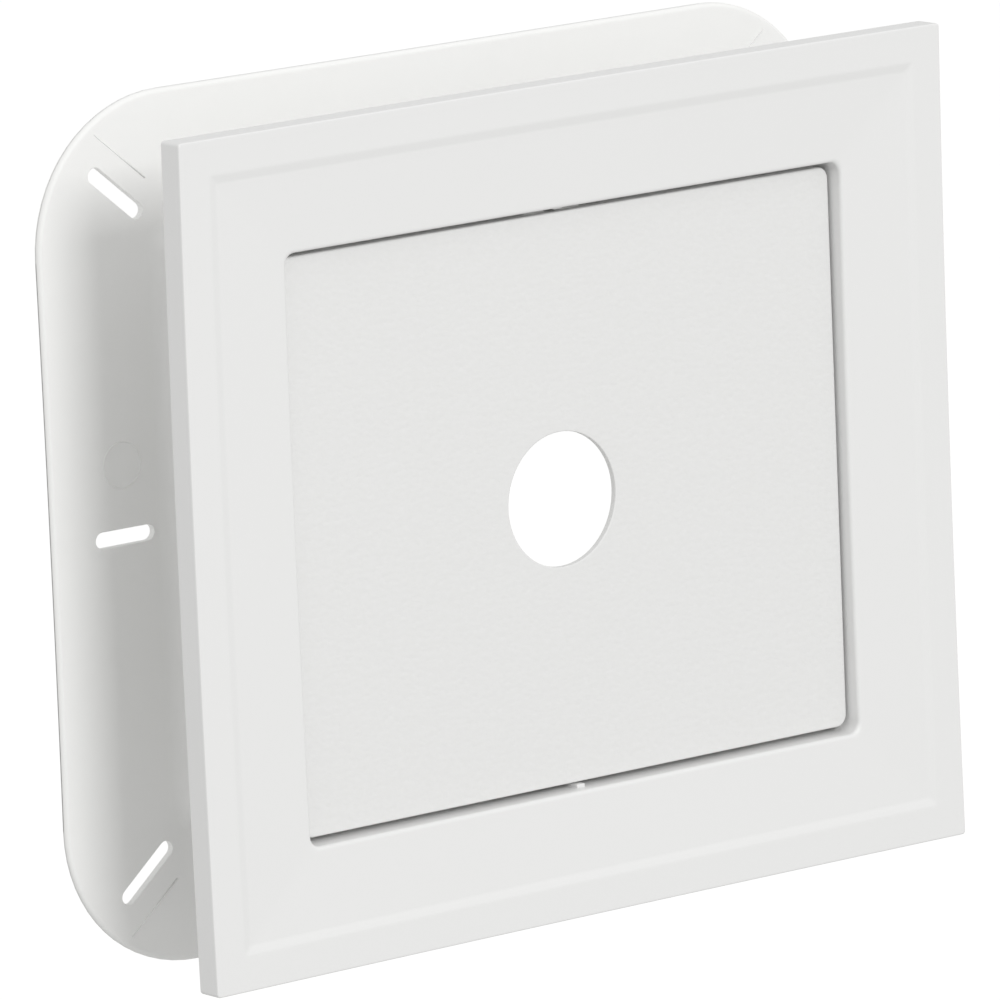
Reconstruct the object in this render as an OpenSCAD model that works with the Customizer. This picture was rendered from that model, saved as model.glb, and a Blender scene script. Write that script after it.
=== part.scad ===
// Recessed mounting block for siding: a nailed base and a trim ring that snaps over it.
// The wall is the plane y = 0 and the front of the block looks along -Y. +Z is up.
// "Out" is a distance from the wall towards the front, so a point's y is minus its out.

/* [Nailing flange] */
// Width of the nailing flange
flange_w = 194.7; // [180:0.1:260]
// Height of the nailing flange
flange_h = 170.3; // [156:0.1:230]
// Radius of the flange's corners
flange_corner_r = 30; // [20:1:36]
// Thickness of the flange sheet
flange_t = 1.5; // [1.2:0.1:3]
// Width of each nail slot
slot_w = 3.2; // [2.5:0.1:4]
// Length of each side slot, end to end
slot_l = 14; // [10:0.1:16]
// Length of each corner slot, end to end
corner_slot_l = 15.4; // [10:0.1:17]
// Flange edge to the centre of a side slot
side_slot_inset = 17.3; // [15:0.1:18]
// Flange edges to the centre of a corner slot
corner_slot_inset = 18.9; // [17:0.1:20]

/* [Pedestal] */
// Wall plane to the front of the face panel
base_depth = 38; // [32:0.1:60]
// Width of the face panel and the pedestal
panel_w = 135.8; // [110:0.1:146]
// Height of the face panel and the pedestal
panel_h = 112.1; // [96:0.1:120]
// Radius of the panel's corners
panel_corner_r = 2.3; // [2.3:0.1:6]
// Thickness of the face panel
panel_t = 1.4; // [1:0.1:3]
// Thickness of the pedestal's walls
wall_t = 1.8; // [1.2:0.1:2.2]
// Radius of the cove at the foot of the pedestal
cove_r = 4; // [2:0.1:5]
// Diameter of the fixture hole
fixture_hole_d = 26.5; // [16:0.1:60]
// Fixture hole's distance to the left of the middle
fixture_hole_left = 1.8; // [-10:0.1:10]

/* [Ratchet] */
// Height of a ratchet tooth
tooth_h = 0.6; // [0.4:0.05:0.8]
// Distance from tooth to tooth
tooth_pitch = 2; // [1.5:0.1:3]
// Width of each toothed strip
rack_w = 5; // [3:0.5:8]
// Width of the channel between a pair of strips
rack_channel = 3.5; // [3:0.1:5]
// Out of the stop at the foot of each strip
stop_out = 7.7; // [7.5:0.1:12]

/* [Trim ring] */
// Width of the trim ring
ring_w = 187.3; // [180:0.1:210]
// Height of the trim ring
ring_h = 163.5; // [155:0.1:185]
// Depth of the ring's outer side
ring_side_d = 5.7; // [4:0.1:9]
// Thickness of the ring's plate behind its field
ring_t = 2.2; // [1.6:0.1:3]
// Thickness of the ring's outer side
skirt_t = 2; // [1.4:0.1:3]
// Width of the flat border
border_w = 7; // [4:0.1:10]
// Width of the bevel inside the border
bevel_w = 1.7; // [0.5:0.1:3]
// Depth of the field below the border
field_drop = 0.9; // [0.4:0.1:2]
// Border's front to the front of the face panel, with the ring at its first click
recess = 5; // [3:0.1:10]
// Radius of the opening's corners
opening_corner_r = 2.4; // [2.4:0.1:6]
// Gap between the pedestal and the ring at the left and right
side_gap = 0.6; // [0.4:0.05:1.5]
// Gap between the pedestal and the ring at the top and bottom
top_gap = 1.2; // [1.15:0.05:2]
// Depth of the collar behind the ring's plate
collar_d = 10; // [6:0.5:12]
// Thickness of the collar and the tongues
collar_t = 1.8; // [1.2:0.1:2.4]
// Thickness of the stiffening ribs
rib_t = 1.2; // [0.8:0.1:2]

/* [Snap tongues] */
// Width of each snap tongue
tongue_w = 14; // [10:0.5:20]
// Length of each tongue behind the collar
tongue_l = 10; // [6:0.1:10.1]
// Clearance between a pawl's tip and the teeth
pawl_gap = 0.3; // [0.3:0.05:0.4]
// Length of each pawl
pawl_l = 1.6; // [1:0.1:2]
// Width of each guide rib
guide_w = 2; // [1.5:0.1:2.4]
// Height of each guide rib
guide_h = 0.7; // [0.4:0.05:0.8]

/* [Hidden] */
$fn = 64;
plastic = "whitesmoke";
overlap = 1;                                    // how far a cutter runs past a face

border_out = base_depth + recess;
field_out = border_out - field_drop;
plate_back_out = field_out - ring_t;
collar_back_out = plate_back_out - collar_d;
tongue_tip_out = collar_back_out - tongue_l;
opening_w = panel_w + 2 * side_gap;
opening_h = panel_h + 2 * top_gap;
collar_w = opening_w + 2 * collar_t;
collar_h = opening_h + 2 * collar_t;
panel_back_out = base_depth - panel_t;
side_slot_x = flange_w / 2 - side_slot_inset;
end_slot_z = flange_h / 2 - side_slot_inset;
corner_slot_x = flange_w / 2 - corner_slot_inset;
corner_slot_z = flange_h / 2 - corner_slot_inset;
corner_slot_turn = atan2(corner_slot_z, corner_slot_x);
rack_x = (rack_channel + rack_w) / 2;
tooth_count = floor((panel_back_out - stop_out) / tooth_pitch);
stop_l = 2.4;                                   // length of the stop along the strip
stop_h = top_gap + collar_t / 2;                // the stop meets the middle of the tongue's tip
pawl_h = top_gap - tooth_h - pawl_gap;
rib_inset = 40;                                 // outermost rib to the end of the collar

// Gives a flat shape, drawn as seen from the front, its place between two outs.
module layer(back, front)
    translate([0, -back, 0]) rotate([90, 0, 0]) linear_extrude(front - back) children();

// A rectangle with round corners.
module rounded(w, h, r) {
    square([w - 2 * r, h], center = true);
    square([w, h - 2 * r], center = true);
    for (x = [-1, 1], z = [-1, 1])
        translate([x * (w / 2 - r), z * (h / 2 - r)]) circle(r);
}

// Sweeps a profile round a rounded rectangle. The profile's x is outwards from that line
// and its y is the out.
module swept(w, h, r)
    rotate([90, 0, 0]) {
        for (turn = [0, 180]) rotate(turn) {
            straight(w / 2, h - 2 * r) children();
            rotate(90) straight(h / 2, w - 2 * r) children();
            translate([w / 2 - r, h / 2 - r]) rotate_extrude(angle = 90)
                translate([r, 0]) children();
            translate([r - w / 2, h / 2 - r]) rotate(90) rotate_extrude(angle = 90)
                translate([r, 0]) children();
        }
    }

// One straight run of a swept profile, at a distance from the middle.
module straight(distance, length)
    translate([distance, length / 2, 0]) rotate([90, 0, 0]) linear_extrude(length) children();

// Repeats a shape at the top, and turned half round at the bottom.
module top_and_bottom()
    for (turn = [0, 180]) rotate([0, turn, 0]) children();

module nail_slot(length) {
    square([length - slot_w, slot_w], center = true);
    for (end = [-1, 1]) translate([end * (length - slot_w) / 2, 0]) circle(slot_w / 2);
}

module nail_slots()
    for (turn = [0, 180]) rotate(turn) {
        translate([side_slot_x, 0]) nail_slot(slot_l);
        translate([0, end_slot_z]) rotate(90) nail_slot(slot_l);
        for (half = [-1, 1]) translate([corner_slot_x, half * corner_slot_z])
            rotate(half * corner_slot_turn) nail_slot(corner_slot_l);
    }

module nailing_flange() color(plastic) difference() {
    layer(0, flange_t) rounded(flange_w, flange_h, flange_corner_r);
    layer(-overlap, flange_t + overlap) {
        nail_slots();
        rounded(panel_w, panel_h, panel_corner_r);
    }
}

// A concave fillet between the pedestal and the flange.
module cove_profile() translate([0, flange_t]) difference() {
    square(cove_r);
    translate([cove_r, cove_r]) circle(cove_r);
}

module pedestal_wall() color(plastic) {
    layer(0, panel_back_out) difference() {
        rounded(panel_w, panel_h, panel_corner_r);
        rounded(panel_w - 2 * wall_t, panel_h - 2 * wall_t, panel_corner_r - wall_t);
    }
    swept(panel_w, panel_h, panel_corner_r) cove_profile();
}

module face_panel() color(plastic) layer(panel_back_out, base_depth) difference() {
    rounded(panel_w, panel_h, panel_corner_r);
    translate([-fixture_hole_left, 0]) circle(d = fixture_hole_d);
}

// Side view of one toothed strip: x is the out, y the height above the pedestal.
module rack_outline() {
    translate([stop_out - stop_l, 0]) square([stop_l, stop_h]);
    for (i = [0 : tooth_count - 1]) translate([stop_out + i * tooth_pitch, 0])
        polygon([[0, 0], [tooth_pitch, 0], [tooth_pitch, tooth_h / 3], [0, tooth_h]]);
}

module ratchet_strips() color(plastic) top_and_bottom() for (side = [-1, 1])
    translate([side * rack_x + rack_w / 2, 0, panel_h / 2]) rotate([90, 0, -90])
        linear_extrude(rack_w) rack_outline();

module ring_face() color(plastic) difference() {
    layer(plate_back_out, border_out) square([ring_w, ring_h], center = true);
    field_pocket(ring_w - 2 * (border_w + bevel_w), ring_h - 2 * (border_w + bevel_w));
    layer(plate_back_out - overlap, field_out + overlap)
        rounded(opening_w, opening_h, opening_corner_r);
}

// The field lies below the border, with a bevel up to it all round.
module field_pocket(w, h) {
    depth = field_drop + overlap;
    spread = 2 * bevel_w * depth / field_drop;
    translate([0, -field_out, 0]) rotate([90, 0, 0])
        linear_extrude(depth, slices = 1, scale = [1 + spread / w, 1 + spread / h])
            square([w, h], center = true);
}

module ring_skirt() color(plastic) layer(border_out - ring_side_d, plate_back_out) difference() {
    square([ring_w, ring_h], center = true);
    square([ring_w - 2 * skirt_t, ring_h - 2 * skirt_t], center = true);
}

module ring_collar() color(plastic) layer(collar_back_out, plate_back_out) difference() {
    rounded(collar_w, collar_h, opening_corner_r + collar_t);
    rounded(opening_w, opening_h, opening_corner_r);
}

// Ribs from the collar to the skirt, three along each side of the ring.
module ring_ribs() color(plastic) layer(border_out - ring_side_d, plate_back_out) {
    for (side = [-1, 1], place = [-1, 0, 1]) {
        translate([side * (collar_w + ring_w - 2 * skirt_t) / 4, place * (collar_h / 2 - rib_inset)])
            square([(ring_w - 2 * skirt_t - collar_w) / 2, rib_t], center = true);
        translate([place * (collar_w / 2 - rib_inset), side * (collar_h + ring_h - 2 * skirt_t) / 4])
            square([rib_t, (ring_h - 2 * skirt_t - collar_h) / 2], center = true);
    }
}

module snap_tongues() color(plastic) top_and_bottom() {
    translate([-tongue_w / 2, -collar_back_out, opening_h / 2])
        cube([tongue_w, tongue_l, collar_t]);
    for (side = [-1, 1]) translate([side * rack_x - rack_w / 2, -tongue_tip_out - pawl_l,
                                    opening_h / 2 - pawl_h])
        cube([rack_w, pawl_l, pawl_h]);
}

// Narrow ribs inside the opening, level with the face panel at their front, which run in
// the channels between the toothed strips.
module guide_ribs() color(plastic) top_and_bottom()
    translate([-guide_w / 2, -base_depth, opening_h / 2 - guide_h])
        cube([guide_w, base_depth - tongue_tip_out, guide_h]);

nailing_flange();
pedestal_wall();
face_panel();
ratchet_strips();
ring_face();
ring_skirt();
ring_collar();
ring_ribs();
snap_tongues();
guide_ribs();
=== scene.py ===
# Recessed siding block: a nailed base and a trim ring, both moulded in white plastic.
import math

import bmesh
import bpy
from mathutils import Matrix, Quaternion, Vector


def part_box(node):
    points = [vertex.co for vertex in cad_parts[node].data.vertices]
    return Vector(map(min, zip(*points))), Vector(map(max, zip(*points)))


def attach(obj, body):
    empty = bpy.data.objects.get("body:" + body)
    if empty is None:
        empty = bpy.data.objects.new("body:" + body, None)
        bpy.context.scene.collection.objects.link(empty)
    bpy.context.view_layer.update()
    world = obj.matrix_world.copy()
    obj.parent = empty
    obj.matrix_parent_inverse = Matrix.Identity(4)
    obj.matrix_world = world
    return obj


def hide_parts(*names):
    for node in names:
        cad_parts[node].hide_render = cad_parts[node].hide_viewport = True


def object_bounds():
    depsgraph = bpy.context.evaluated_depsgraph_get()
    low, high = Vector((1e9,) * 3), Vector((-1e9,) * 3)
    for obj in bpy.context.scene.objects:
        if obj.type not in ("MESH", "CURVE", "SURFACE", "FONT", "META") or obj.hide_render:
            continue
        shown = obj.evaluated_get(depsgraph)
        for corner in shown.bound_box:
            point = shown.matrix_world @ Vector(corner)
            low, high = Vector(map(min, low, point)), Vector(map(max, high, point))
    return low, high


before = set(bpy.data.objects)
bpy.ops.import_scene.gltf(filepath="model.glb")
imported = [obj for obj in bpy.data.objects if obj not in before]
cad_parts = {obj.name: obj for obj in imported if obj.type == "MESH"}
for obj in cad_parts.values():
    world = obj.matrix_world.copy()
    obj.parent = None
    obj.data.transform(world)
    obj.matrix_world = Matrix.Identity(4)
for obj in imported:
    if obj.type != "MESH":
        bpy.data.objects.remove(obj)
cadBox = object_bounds()
mm = 0.001
print("frame loaded:", len(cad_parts), "nodes")


class Socket:
    # wraps a node's output, so that shader maths reads as plain expressions
    def __init__(self, graph, out):
        self.graph, self.out = graph, out

    def combine(self, operation, first, second):
        return self.graph.add("ShaderNodeMath", {"operation": operation}, {0: first, 1: second})

    def __add__(self, other):
        return self.combine("ADD", self, other)

    def __sub__(self, other):
        return self.combine("SUBTRACT", self, other)

    def __rsub__(self, other):
        return self.combine("SUBTRACT", other, self)

    def __mul__(self, other):
        return self.combine("MULTIPLY", self, other)

    __radd__ = __add__
    __rmul__ = __mul__


class Graph:
    # one material's nodes
    def __init__(self, name):
        self.material = bpy.data.materials.new(name)
        self.material.use_nodes = True
        self.nodes = self.material.node_tree.nodes
        self.links = self.material.node_tree.links
        self.shader = self.nodes["Principled BSDF"]

    def add(self, kind, settings=None, sockets=None, out=0):
        node = self.nodes.new(kind)
        for key, value in (settings or {}).items():
            if key == "stops":
                self.setStops(node.color_ramp, value)
            else:
                setattr(node, key, value)
        self.feed(node, sockets or {})
        return Socket(self, node.outputs[out])

    def feed(self, node, sockets):
        for key, value in sockets.items():
            if isinstance(value, Socket):
                self.links.new(value.out, node.inputs[key])
            else:
                node.inputs[key].default_value = value

    def setStops(self, ramp, stops):
        while len(ramp.elements) < len(stops):
            ramp.elements.new(0.5)
        for stop, (place, grey) in zip(ramp.elements, stops):
            stop.position = place
            stop.color = (grey, grey, grey, 1)

    def noise(self, place, size, detail, roughness):
        # size is the width of one lump in metres
        return self.add("ShaderNodeTexNoise", {"noise_dimensions": "3D"},
                        {"Vector": place, "Scale": 1 / size, "Detail": detail, "Roughness": roughness})

    def mix(self, share, first, second):
        return self.add("ShaderNodeMix", {"data_type": "RGBA"},
                        {0: share, 6: (*first, 1), 7: (*second, 1)}, out=2)


noiseDetail = {"clouds": (3.0, 0.5), "skin": (4.0, 0.6), "waves": (1.0, 0.5), "creases": (5.0, 0.65)}


def smoothPlastic(name, finish):
    # gloss-down moulded plastic: faint clouds in colour and gloss, flow waves and a very fine skin
    graph = Graph(name)
    place = graph.add("ShaderNodeTexCoord", out=3)
    clouds = graph.noise(place, finish["cloudSize"], *noiseDetail["clouds"])
    skin = graph.noise(place, finish["skinSize"], *noiseDetail["skin"])
    waves = graph.noise(place, finish["waveSize"], *noiseDetail["waves"])
    colour = graph.mix(clouds, finish["colour"], finish["shadeColour"])
    height = skin * finish["skinDepth"] + waves * finish["waveDepth"]
    bump = graph.add("ShaderNodeBump", None, {"Strength": 1.0, "Distance": 1.0, "Height": height})
    graph.feed(graph.shader, {
        "Base Color": colour, "Roughness": clouds * finish["glossDrift"] + finish["roughness"],
        "Normal": bump, "IOR": finish["ior"]})
    return graph.material


def grainedPlastic(name, finish):
    # the same plastic with a fine pebbled grain, a little longer across than up
    graph = Graph(name)
    place = graph.add("ShaderNodeTexCoord", out=3)
    stretched = graph.add("ShaderNodeMapping", None,
                          {"Vector": place, "Scale": (1 / finish["grainStretch"], 1, 1)})
    clouds = graph.noise(place, finish["cloudSize"], *noiseDetail["clouds"])
    pebbles = graph.add("ShaderNodeTexVoronoi", {"feature": "SMOOTH_F1"},
                        {"Vector": stretched, "Scale": 1 / finish["grainSize"], "Smoothness": 0.6})
    creases = graph.noise(stretched, finish["creaseSize"], *noiseDetail["creases"])
    tint = graph.add("ShaderNodeValToRGB", {"stops": [(0.35, 0.0), (0.65, 1.0)]}, {"Fac": creases})
    colour = graph.mix(tint * 0.6 + clouds * 0.4, finish["colour"], finish["shadeColour"])
    height = pebbles * finish["grainDepth"] + creases * finish["creaseDepth"]
    bump = graph.add("ShaderNodeBump", None, {"Strength": 1.0, "Distance": 1.0, "Height": height})
    graph.feed(graph.shader, {
        "Base Color": colour, "Roughness": creases * finish["glossDrift"] + finish["roughness"],
        "Normal": bump, "IOR": finish["ior"]})
    return graph.material


basePlasticFinish = {
    "colour": (0.9, 0.9, 0.892), "shadeColour": (0.885, 0.885, 0.872),
    "roughness": 0.52, "glossDrift": 0.08, "ior": 1.46,
    "cloudSize": 60 * mm, "skinSize": 0.7 * mm, "skinDepth": 0.006 * mm,
    "waveSize": 35 * mm, "waveDepth": 0.03 * mm}
ringPlasticFinish = {
    "colour": (0.8, 0.8, 0.797), "shadeColour": (0.79, 0.79, 0.785),
    "roughness": 0.36, "glossDrift": 0.07, "ior": 1.46,
    "cloudSize": 70 * mm, "skinSize": 0.6 * mm, "skinDepth": 0.005 * mm,
    "waveSize": 40 * mm, "waveDepth": 0.03 * mm}
panelPlasticFinish = {
    "colour": (0.785, 0.785, 0.781), "shadeColour": (0.76, 0.76, 0.753),
    "roughness": 0.46, "glossDrift": 0.12, "ior": 1.46,
    "cloudSize": 50 * mm, "grainSize": 1.1 * mm, "grainStretch": 1.6, "grainDepth": 0.05 * mm,
    "creaseSize": 0.9 * mm, "creaseDepth": 0.06 * mm}

basePlastic = smoothPlastic("basePlastic", basePlasticFinish)
ringPlastic = smoothPlastic("ringPlastic", ringPlasticFinish)
panelPlastic = grainedPlastic("panelPlastic", panelPlasticFinish)
print("materials made")


meshDetail = {
    "cornerSteps": 16, "sideSteps": 12, "filletSteps": 5, "bevelSteps": 2, "support": 0.25 * mm,
    "weld": 0.002 * mm, "sliver": 0.001 * mm, "sharpAngle": math.radians(40)}


def closedTube(bm, loops, wrap=False):
    # joins loops of points one to the next, with flat ends or wrapped round, and faces it all outwards
    rings = [[bm.verts.new(point) for point in loop] for loop in loops]
    pairs = list(zip(rings, rings[1:])) + ([(rings[-1], rings[0])] if wrap else [])
    faces = []
    for near, far in pairs:
        for j in range(len(near)):
            k = (j + 1) % len(near)
            faces.append([near[j], near[k], far[k], far[j]])
    if not wrap:
        faces += [rings[0][::-1], rings[-1]]
    start = rings[0][0].co
    volume = 0.0
    for face in faces:
        first, *others = (vert.co - start for vert in face)
        volume += sum(first.dot(a.cross(b)) for a, b in zip(others, others[1:]))
    if volume < 0:
        faces = [face[::-1] for face in faces]
    return [bm.faces.new(face) for face in faces]


def outline(width, height, radius, y, left=0.0):
    # a rectangle with round corners, as a ring of points at one depth
    points = []
    for quarter in range(4):
        turn = math.radians(90 * quarter)
        acrossSign = 1 if quarter in (0, 3) else -1
        upSign = 1 if quarter in (0, 1) else -1
        across, up = acrossSign * (width / 2 - radius), upSign * (height / 2 - radius)
        middle = Vector((across - left, y, up))
        for step in range(meshDetail["cornerSteps"] + 1):
            angle = turn + math.radians(90) * step / meshDetail["cornerSteps"]
            points.append(middle + radius * Vector((math.cos(angle), 0, math.sin(angle))))
    ring = []
    perCorner = meshDetail["cornerSteps"] + 1
    for i, point in enumerate(points):
        ring.append(point)
        if i % perCorner == perCorner - 1:  # the corner is done, so the straight side follows
            following = points[(i + 1) % len(points)]
            ring += [point.lerp(following, step / meshDetail["sideSteps"])
                     for step in range(1, meshDetail["sideSteps"])]
    return ring


def filletedSection(corners):
    # corners are (width, height, corner radius, y, fillet, shift to the left) round a closed section
    corners = [corner if len(corner) == 6 else corner + (0.0,) for corner in corners]
    places = [Vector(corner[:4] + corner[5:]) for corner in corners]
    section = []
    for i, here in enumerate(places):
        fillet = corners[i][4]
        if not fillet:
            section.append(here)
            continue
        legs = []
        for other in (places[i - 1], places[(i + 1) % len(places)]):
            leg = other - here
            reach = max(abs(leg[0]) / 2, abs(leg[1]) / 2, abs(leg[3]))
            legs.append((leg / reach, reach))
        (back, backReach), (on, onReach) = legs
        backSupport = min(fillet + meshDetail["support"], (fillet + backReach) / 2)
        onSupport = min(fillet + meshDetail["support"], (fillet + onReach) / 2)
        section.append(here + back * backSupport)
        for step in range(meshDetail["filletSteps"] + 1):
            angle = math.radians(90) * step / meshDetail["filletSteps"]
            section.append(here + back * fillet * (1 - math.sin(angle))
                           + on * fillet * (1 - math.cos(angle)))
        section.append(here + on * onSupport)
    return section


def loftedShell(section):
    # joins the outlines at every station of a closed section into one closed shell
    bm = bmesh.new()
    closedTube(bm, [outline(*station) for station in section], wrap=True)
    bmesh.ops.remove_doubles(bm, verts=bm.verts, dist=meshDetail["weld"])
    bmesh.ops.dissolve_degenerate(bm, edges=bm.edges, dist=meshDetail["sliver"])
    return bm


def prism(bm, profile, low, high, bevel=0.0):
    # a (y, z) profile run along X from low to high, with its edges eased
    faces = closedTube(bm, [[Vector((x, y, z)) for y, z in profile] for x in (low, high)])
    if bevel:
        edges = list({edge for face in faces for edge in face.edges})
        bmesh.ops.bevel(bm, geom=edges, offset=bevel, segments=meshDetail["bevelSteps"],
                        profile=0.5, affect="EDGES")


def turnedHalfRound(bm):
    # repeats everything at the bottom, turned about the Y axis
    twin = bmesh.ops.duplicate(bm, geom=bm.verts[:] + bm.edges[:] + bm.faces[:])
    for vert in (v for v in twin["geom"] if isinstance(v, bmesh.types.BMVert)):
        vert.co.x, vert.co.z = -vert.co.x, -vert.co.z


def finishPiece(name, bm, material, body, replaced=(), sag=None):
    if sag:
        for vert in bm.verts:
            vert.co.y += sag(vert.co.x, vert.co.z)
    for face in bm.faces:
        face.smooth = True
    for edge in bm.edges:
        edge.smooth = len(edge.link_faces) == 2 and edge.calc_face_angle() < meshDetail["sharpAngle"]
    mesh = bpy.data.meshes.new(name)
    bm.to_mesh(mesh)
    bm.free()
    piece = bpy.data.objects.new(name, mesh)
    bpy.context.scene.collection.objects.link(piece)
    mesh.materials.append(material)
    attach(piece, body)
    if replaced:
        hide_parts(*replaced)
    return piece


def sizeOf(node):
    low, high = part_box(node)
    return high - low


baseShape = {
    "cornerRadius": 30 * mm, "frontRoundover": 0.9 * mm, "wallThickness": 1.8 * mm, "cove": 4.0 * mm,
    "easedEdge": 0.25 * mm, "mouthRoundover": 0.6 * mm, "bow": 0.8 * mm}
panelShape = {
    "cornerRadius": 2.3 * mm, "frontRoundover": 0.4 * mm,
    "holeDiameter": 26.5 * mm, "holeLeft": 1.8 * mm, "holeEase": 0.2 * mm}

flangeLow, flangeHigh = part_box("nailing_flange")
panelLow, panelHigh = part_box("face_panel")
flangeSize, panelSize = sizeOf("nailing_flange"), sizeOf("face_panel")


def flangeBow(x, z):
    # the middle of each flange side stands a little off the wall, and the corners touch it
    fromBox = max((abs(x) - panelSize.x / 2) / (flangeSize.x - panelSize.x) * 2,
                  (abs(z) - panelSize.z / 2) / (flangeSize.z - panelSize.z) * 2, 0)
    alongSide = (2 * x / flangeSize.x) ** 2 * (2 * z / flangeSize.z) ** 2
    return -baseShape["bow"] * min(fromBox, 1) * (1 - alongSide)


def makeBase():
    shape = baseShape
    width, height, radius = flangeSize.x, flangeSize.z, shape["cornerRadius"]
    boxWidth, boxHeight, boxRadius = panelSize.x, panelSize.z, panelShape["cornerRadius"]
    back, front = flangeHigh.y, flangeLow.y
    top = panelHigh.y
    wall = shape["wallThickness"]
    corners = [
        (boxWidth, boxHeight, boxRadius, top, 0),
        (boxWidth, boxHeight, boxRadius, front, shape["cove"]),
        (width, height, radius, front, shape["frontRoundover"]),
        (width, height, radius, back, shape["easedEdge"]),
        (boxWidth - 2 * wall, boxHeight - 2 * wall, boxRadius - wall, back, shape["mouthRoundover"]),
        (boxWidth - 2 * wall, boxHeight - 2 * wall, boxRadius - wall, top, 0)]
    return loftedShell(filletedSection(corners))


def makePanel():
    shape = panelShape
    front, back = panelLow.y, panelHigh.y
    hole, left, radius = shape["holeDiameter"], shape["holeLeft"], shape["cornerRadius"]
    corners = [
        (hole, hole, hole / 2, front, shape["holeEase"], left),
        (panelSize.x, panelSize.z, radius, front, shape["frontRoundover"]),
        (panelSize.x, panelSize.z, radius, back, 0),
        (hole, hole, hole / 2, back, shape["holeEase"], left)]
    return loftedShell(filletedSection(corners))


slotShape = {
    "width": 3.2 * mm, "sideLength": 14.0 * mm, "cornerLength": 15.4 * mm,
    "sideInset": 17.3 * mm, "cornerInset": 18.9 * mm,
    "ease": 0.15 * mm, "flare": 0.5, "endSteps": 10, "overrun": 4.0 * mm}


def slotPlaces():
    # centre, turn and length of each nail slot
    side, end = flangeSize.x / 2 - slotShape["sideInset"], flangeSize.z / 2 - slotShape["sideInset"]
    across, up = flangeSize.x / 2 - slotShape["cornerInset"], flangeSize.z / 2 - slotShape["cornerInset"]
    turn = math.atan2(up, across)
    short, long = slotShape["sideLength"], slotShape["cornerLength"]
    places = []
    for sign in (1, -1):
        places += [(sign * side, 0, 0, short), (0, sign * end, math.radians(90), short),
                   (sign * across, sign * up, turn, long), (sign * across, -sign * up, -turn, long)]
    return places


def slotOutline(x, z, turn, length, grow):
    # a slot's outline, grown by a little where its front edge is eased
    radius = slotShape["width"] / 2 + grow
    half = (length - slotShape["width"]) / 2
    points = []
    for end in (1, -1):
        for step in range(slotShape["endSteps"] + 1):
            angle = math.radians(180) * step / slotShape["endSteps"] - math.radians(90)
            across, up = end * (half + radius * math.cos(angle)), end * radius * math.sin(angle)
            points.append((x + across * math.cos(turn) - up * math.sin(turn),
                           z + across * math.sin(turn) + up * math.cos(turn)))
    return points


def slotCutter():
    # a closed tool for every slot: straight through the sheet, flared at its front face
    bm = bmesh.new()
    for x, z, turn, length in slotPlaces():
        bow = flangeBow(x, z)
        front = flangeLow.y + bow
        ease = slotShape["ease"]
        layers = [(flangeHigh.y + slotShape["overrun"], 0), (front + ease, 0), (front, ease),
                  (front - slotShape["overrun"], ease + slotShape["overrun"] * slotShape["flare"])]
        closedTube(bm, [[Vector((px, y, pz)) for px, pz in slotOutline(x, z, turn, length, grow)]
                        for y, grow in layers])
    return bm


def cutAway(bm, tool):
    # subtracts one closed mesh from another and returns the result
    pair = []
    for part in (bm, tool):
        mesh = bpy.data.meshes.new("working")
        part.to_mesh(mesh)
        part.free()
        piece = bpy.data.objects.new("working", mesh)
        bpy.context.scene.collection.objects.link(piece)
        pair.append(piece)
    target, cutter = pair
    cut = target.modifiers.new("cut", "BOOLEAN")
    cut.operation, cut.solver, cut.object = "DIFFERENCE", "MANIFOLD", cutter
    bpy.context.view_layer.update()
    evaluated = target.evaluated_get(bpy.context.evaluated_depsgraph_get())
    result = bmesh.new()
    result.from_mesh(evaluated.to_mesh())
    evaluated.to_mesh_clear()
    for piece in pair:
        mesh = piece.data
        bpy.data.objects.remove(piece)
        bpy.data.meshes.remove(mesh)
    return result


baseShell = makeBase()
for vert in baseShell.verts:
    vert.co.y += flangeBow(vert.co.x, vert.co.z)
finishPiece("nailingBase", cutAway(baseShell, slotCutter()), basePlastic, "mounting_base",
            ("nailing_flange", "pedestal_wall"))
finishPiece("facePanel", makePanel(), panelPlastic, "mounting_base", ("face_panel",))
print("base and face panel made")


stripShape = {
    "width": 5.0 * mm, "toothPitch": 2.0 * mm, "toothHeight": 0.6 * mm, "toothStart": 0.2 * mm,
    "stopLength": 2.4 * mm}


def makeStrips():
    # two toothed strips at the top, with a guide channel between them, and the same at the bottom
    shape = stripShape
    low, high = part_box("ratchet_strips")
    foot, tip = panelHigh.z, high.z
    stopFront = high.y - shape["stopLength"]
    profile = [(low.y, foot)]
    teeth = round((stopFront - low.y) / shape["toothPitch"])
    for tooth in range(teeth):
        y = low.y + tooth * shape["toothPitch"]
        profile += [(y, foot + shape["toothStart"]),
                    (y + shape["toothPitch"], foot + shape["toothHeight"])]
    profile += [(stopFront, tip), (high.y, tip), (high.y, foot)]
    bm = bmesh.new()
    for start in (low.x, high.x - shape["width"]):
        prism(bm, profile, start, start + shape["width"])
    turnedHalfRound(bm)
    return bm


finishPiece("ratchetStrips", makeStrips(), basePlastic, "mounting_base",
            ("ratchet_strips",))

# the two profiles are shares of the mark's width and of its relief
markShape = {
    "ejectorRadius": 4.5 * mm, "ejectorWidth": 0.35 * mm, "ejectorShift": 14 * mm, "relief": 0.1 * mm,
    "lineLength": 15 * mm, "lineWidth": 0.3 * mm, "lineAside": 6.2 * mm, "lineOut": 3.6 * mm,
    "ringProfile": ((-0.5, 0.3), (-0.3, -1), (0.3, -1), (0.5, 0.3)),
    "lineProfile": ((-0.5, 0.3), (-0.2, -1), (0.2, -1), (0.5, 0.3)), "steps": 48}


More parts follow.
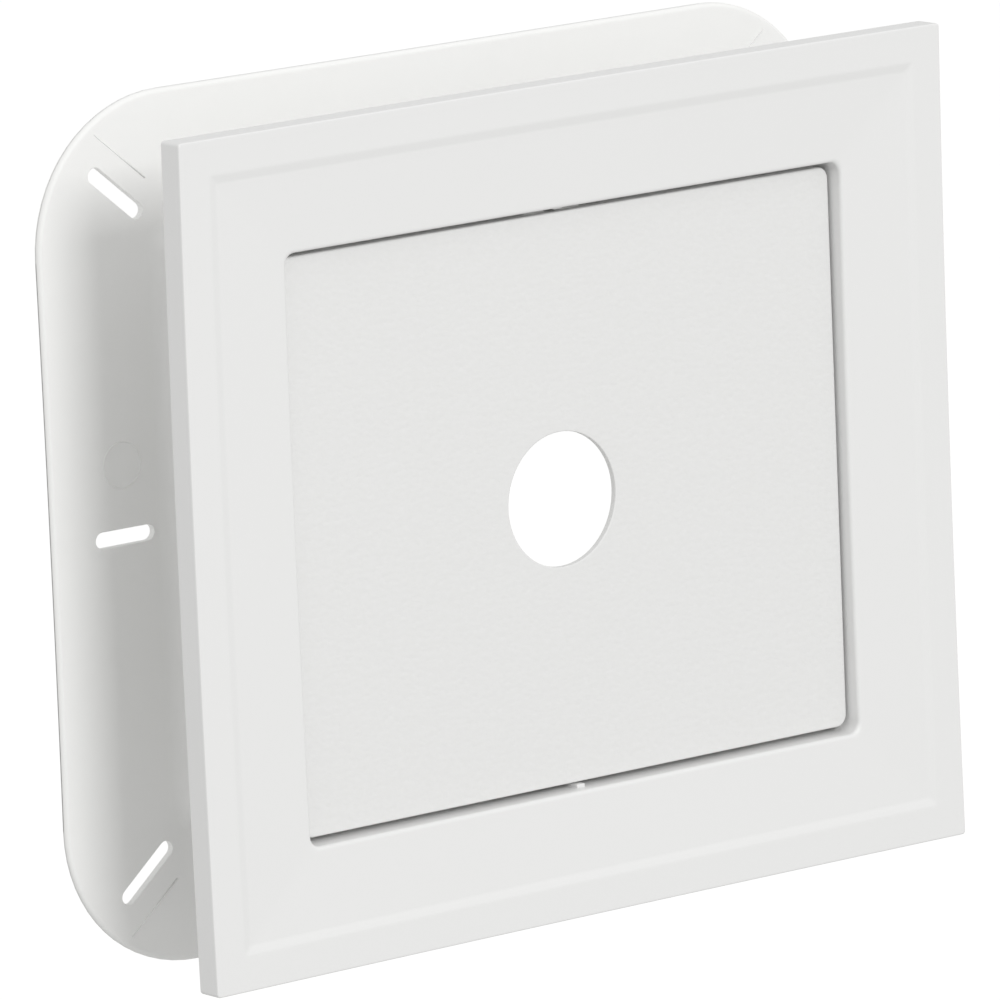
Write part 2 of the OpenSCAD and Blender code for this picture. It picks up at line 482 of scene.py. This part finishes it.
def makeMarks():
    # moulding marks on the flange: a ring where each ejector pad pressed, a fine line by each corner slot
    shape = markShape
    bm = bmesh.new()
    reach = flangeSize.x / 2 - slotShape["sideInset"]
    rise = flangeSize.z / 2 - slotShape["sideInset"]
    for sign in (1, -1):
        for x, z in ((sign * reach, shape["ejectorShift"]), (sign * shape["ejectorShift"], sign * rise)):
            reliefRing(bm, x, z)
    across, up = flangeSize.x / 2 - slotShape["cornerInset"], flangeSize.z / 2 - slotShape["cornerInset"]
    turn = math.atan2(up, across)
    for acrossSign in (1, -1):
        for upSign in (1, -1):
            along = Vector((acrossSign * math.cos(turn), 0, upSign * math.sin(turn)))
            aside = Vector((-acrossSign * math.sin(turn), 0, upSign * math.cos(turn)))
            middle = Vector((acrossSign * across, 0, upSign * up))
            middle += aside * shape["lineAside"] + along * shape["lineOut"]
            reliefLine(bm, middle, along, aside)
    return bm


def reliefRing(bm, x, z):
    shape = markShape
    rings = []
    for step in range(shape["steps"]):
        angle = math.radians(360) * step / shape["steps"]
        ring = []
        for across, out in shape["ringProfile"]:
            radius = shape["ejectorRadius"] + across * shape["ejectorWidth"]
            px, pz = x + radius * math.cos(angle), z + radius * math.sin(angle)
            ring.append(Vector((px, flangeLow.y + flangeBow(px, pz) + out * shape["relief"], pz)))
        rings.append(ring)
    closedTube(bm, rings, wrap=True)


def reliefLine(bm, middle, along, aside):
    shape = markShape
    ends = []
    for share in (-0.5, 0.5):
        loop = []
        for across, out in shape["lineProfile"]:
            point = middle + along * share * shape["lineLength"] + aside * across * shape["lineWidth"]
            point.y = flangeLow.y + flangeBow(point.x, point.z) + out * shape["relief"]
            loop.append(point)
        ends.append(loop)
    closedTube(bm, ends)


finishPiece("mouldingMarks", makeMarks(), basePlastic, "mounting_base")
print("strips and moulding marks made")


ringShape = {
    "borderWidth": 7.0 * mm, "bevelWidth": 1.7 * mm, "bevelDrop": 0.42 * mm, "fieldDrop": 1.02 * mm,
    "skirtThickness": 2.0 * mm,
    "collarThickness": 1.8 * mm, "openingCorner": 2.4 * mm, "outerCorner": 0.7 * mm,
    "openingRoundover": 0.7 * mm, "outerEase": 0.3 * mm, "bevelEase": 0.25 * mm, "backEase": 0.3 * mm,
    "rootFillet": 0.8 * mm, "sag": 0.8 * mm}

ringLow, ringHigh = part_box("ring_face")
skirtLow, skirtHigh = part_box("ring_skirt")
collarLow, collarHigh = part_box("ring_collar")
ringSize, collarSize = sizeOf("ring_face"), sizeOf("ring_collar")


def ringSag(x, z):
    # the ring's corners spring forward of the middle of its sides, where the tongues hold it
    across, up = 2 * x / ringSize.x, 2 * z / ringSize.z
    return ringShape["sag"] * ((1 - across ** 2) + (1 - up ** 2))


def makeRing():
    shape = ringShape
    width, height, corner = ringSize.x, ringSize.z, shape["outerCorner"]
    border = ringLow.y
    # the field dips a little from the bevel's foot to the opening
    footOut, field = border + shape["bevelDrop"], border + shape["fieldDrop"]
    plateBack, skirtBack, collarBack = ringHigh.y, skirtHigh.y, collarHigh.y
    crest = 2 * shape["borderWidth"]
    foot = crest + 2 * shape["bevelWidth"]
    skirt, collar = 2 * shape["skirtThickness"], 2 * shape["collarThickness"]
    outerWide, outerHigh = collarSize.x, collarSize.z
    innerWide, innerHigh = outerWide - collar, outerHigh - collar
    opening = shape["openingCorner"]
    back, root = shape["backEase"], shape["rootFillet"]
    corners = [
        (innerWide, innerHigh, opening, field, shape["openingRoundover"]),
        (width - foot, height - foot, corner, footOut, shape["bevelEase"]),
        (width - crest, height - crest, corner, border, shape["bevelEase"]),
        (width, height, corner, border, shape["outerEase"]),
        (width, height, corner, skirtBack, back),
        (width - skirt, height - skirt, corner, skirtBack, back),
        (width - skirt, height - skirt, corner, plateBack, root),
        (outerWide, outerHigh, opening + collar / 2, plateBack, root),
        (outerWide, outerHigh, opening + collar / 2, collarBack, back),
        (innerWide, innerHigh, opening, collarBack, back)]
    return loftedShell(filletedSection(corners))


finishPiece("trimRing", makeRing(), ringPlastic, "trim_ring",
            ("ring_face", "ring_skirt", "ring_collar"), ringSag)

ribShape = {"thickness": 1.2 * mm, "draft": 0.2 * mm, "inset": 40 * mm, "steps": 6, "bury": 0.4 * mm}


def makeRibs():
    # ribs from the collar to the skirt, thinner towards their free edge
    shape = ribShape
    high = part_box("ring_ribs")[1]
    halfWide, halfHigh = collarSize.x / 2, collarSize.z / 2
    bm = bmesh.new()
    for sign in (1, -1):
        for place in (-1, 0, 1):
            ribBetween(bm, (sign * halfWide, sign * high.x), place * (halfHigh - shape["inset"]), True)
            ribBetween(bm, (sign * halfHigh, sign * high.z), place * (halfWide - shape["inset"]), False)
    return bm


def ribBetween(bm, ends, place, acrossWays):
    shape = ribShape
    low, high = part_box("ring_ribs")
    half, thin = shape["thickness"] / 2, shape["thickness"] / 2 - shape["draft"]
    root = low.y - shape["bury"]
    loops = []
    for step in range(shape["steps"] + 1):
        reach = shape["bury"] * (1 if ends[1] > 0 else -1)
        start, finish = ends[0] - reach, ends[1] + reach
        along = start + (finish - start) * step / shape["steps"]
        loop = []
        for side, y in ((-half, root), (-thin, high.y), (thin, high.y), (half, root)):
            point = (along, y, place + side) if acrossWays else (place + side, y, along)
            loop.append(Vector(point))
        loops.append(loop)
    closedTube(bm, loops)


finishPiece("stiffeningRibs", makeRibs(), ringPlastic, "trim_ring",
            ("ring_ribs",), ringSag)

tongueShape = {
    "skin": 0.05 * mm, "pawlLength": 1.6 * mm, "pawlWidth": 5.0 * mm, "pawlGap": 0.3 * mm,
    "pawlFlat": 0.5, "pawlSkin": 0.1 * mm, "edge": 0.3 * mm, "bury": 1.0 * mm}


def makeTongues():
    # a springy tongue behind the collar, with a ramped pawl over each toothed strip
    shape = tongueShape
    low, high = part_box("snap_tongues")
    outer, inner = high.z - shape["skin"], high.z - ringShape["collarThickness"] + shape["skin"]
    root, tip = low.y - shape["bury"], high.y
    bm = bmesh.new()
    prism(bm, [(root, inner), (tip, inner), (tip, outer), (root, outer)], low.x, high.x, shape["edge"])
    pawlTip = panelHigh.z + stripShape["toothHeight"] + shape["pawlGap"]
    pawlFoot, pawlEnd = inner + shape["bury"], tip - shape["pawlSkin"]
    pawlStart, flatEnd = tip - shape["pawlLength"], tip - shape["pawlLength"] * shape["pawlFlat"]
    profile = [(pawlStart, pawlFoot), (pawlStart, pawlTip), (flatEnd, pawlTip), (pawlEnd, inner),
               (pawlEnd, pawlFoot)]
    stripLow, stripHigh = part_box("ratchet_strips")
    for start in (stripLow.x, stripHigh.x - shape["pawlWidth"]):
        prism(bm, profile, start, start + shape["pawlWidth"])
    turnedHalfRound(bm)
    return bm


finishPiece("snapTongues", makeTongues(), ringPlastic, "trim_ring", ("snap_tongues",))

guideShape = {"height": 0.7 * mm, "edge": 0.2 * mm, "bury": 0.4 * mm}


def makeGuides():
    # the narrow rib at the middle of the opening's top edge, and its twin at the bottom
    shape = guideShape
    low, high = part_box("guide_ribs")
    inner = collarSize.z / 2 - ringShape["collarThickness"]
    root, tip = inner + shape["bury"], inner - shape["height"]
    bm = bmesh.new()
    prism(bm, [(low.y, root), (low.y, tip), (high.y, tip), (high.y, root)], low.x, high.x, shape["edge"])
    turnedHalfRound(bm)
    return bm


finishPiece("guideRibs", makeGuides(), ringPlastic, "trim_ring", ("guide_ribs",))
print("trim ring made")


stageSet = {
    "floorDrop": 0.35, "floorSize": 30.0, "floorColour": (0.58, 0.58, 0.575), "floorRoughness": 0.9,
    "glowStart": 0.3, "glowFull": 0.8, "glow": 0.55}


def makeFloor():
    bm = bmesh.new()
    half = stageSet["floorSize"] / 2
    level = cadBox[0].z - stageSet["floorDrop"]
    corners = ((-half, -half), (half, -half), (half, half), (-half, half))
    bm.faces.new([bm.verts.new((x, y, level)) for x, y in corners])
    mesh = bpy.data.meshes.new("paleFloor")
    bm.to_mesh(mesh)
    bm.free()
    floor = bpy.data.objects.new("paleFloor", mesh)
    bpy.context.scene.collection.objects.link(floor)
    graph = Graph("floorPaint")
    place = graph.add("ShaderNodeTexCoord", out=3)
    away = graph.add("ShaderNodeSeparateXYZ", None, {"Vector": place}, out=1)
    share = graph.add("ShaderNodeMapRange", {"interpolation_type": "SMOOTHSTEP"},
                      {"Value": away, "From Min": stageSet["glowStart"],
                       "From Max": stageSet["glowFull"]})
    glow = graph.mix(share, (0, 0, 0), (1, 1, 1))
    graph.feed(graph.shader, {
        "Base Color": (*stageSet["floorColour"], 1), "Roughness": stageSet["floorRoughness"],
        "Emission Color": glow, "Emission Strength": stageSet["glow"]})
    mesh.materials.append(graph.material)


makeFloor()

lightSet = {
    "keyAzimuth": -8.5, "keyElevation": 26.0, "keyDistance": 3.2, "keySize": 1.0, "keyPower": 40.5,
    "skyStrength": 0.755, "skyColour": (1.0, 1.0, 0.995)}


def around(azimuth, elevation, distance):
    # a place round the middle of the ring's face, azimuth 0 in front and positive to the right
    turn, rise = math.radians(azimuth), math.radians(elevation)
    way = Vector((math.sin(turn) * math.cos(rise), -math.cos(turn) * math.cos(rise), math.sin(rise)))
    return Vector((0, ringLow.y, 0)) + way * distance


def makeLights():
    key = bpy.data.lights.new("keyLight", "AREA")
    key.size, key.energy = lightSet["keySize"], lightSet["keyPower"]
    lamp = bpy.data.objects.new("keyLight", key)
    lamp.location = around(lightSet["keyAzimuth"], lightSet["keyElevation"], lightSet["keyDistance"])
    lamp.rotation_euler = (-lamp.location).to_track_quat("-Z", "Y").to_euler()
    bpy.context.scene.collection.objects.link(lamp)
    world = bpy.data.worlds.new("softSky")
    bpy.context.scene.world = world
    world.use_nodes = True
    sky = world.node_tree.nodes["Background"]
    sky.inputs["Color"].default_value = (*lightSet["skyColour"], 1)
    sky.inputs["Strength"].default_value = lightSet["skyStrength"]
    bpy.context.scene.view_settings.view_transform = "Standard"


makeLights()

cameraSet = {
    "azimuth": -38.18, "elevation": 10.77, "distance": 2.0406, "roll": 2.353,
    "lens": 383.5, "sensor": 36, "nearest": 0.05, "farthest": 60,
    "aimAcross": -21.07 * mm, "aimUp": 3.38 * mm}


def makeCamera():
    data = bpy.data.cameras.new("camera")
    data.lens, data.sensor_width = cameraSet["lens"], cameraSet["sensor"]
    data.clip_start, data.clip_end = cameraSet["nearest"], cameraSet["farthest"]
    camera = bpy.data.objects.new("camera", data)
    aim = Vector((cameraSet["aimAcross"], ringLow.y, cameraSet["aimUp"]))
    turn, rise = math.radians(cameraSet["azimuth"]), math.radians(cameraSet["elevation"])
    back = Vector((math.sin(turn) * math.cos(rise), -math.cos(turn) * math.cos(rise), math.sin(rise)))
    camera.rotation_mode = "QUATERNION"
    camera.location = aim + back * cameraSet["distance"]
    lean = Quaternion((0, 0, -1), math.radians(cameraSet["roll"]))
    camera.rotation_quaternion = (-back).to_track_quat("-Z", "Y") @ lean
    bpy.context.scene.collection.objects.link(camera)
    bpy.context.scene.camera = camera


makeCamera()
print("stage, lights and camera set")
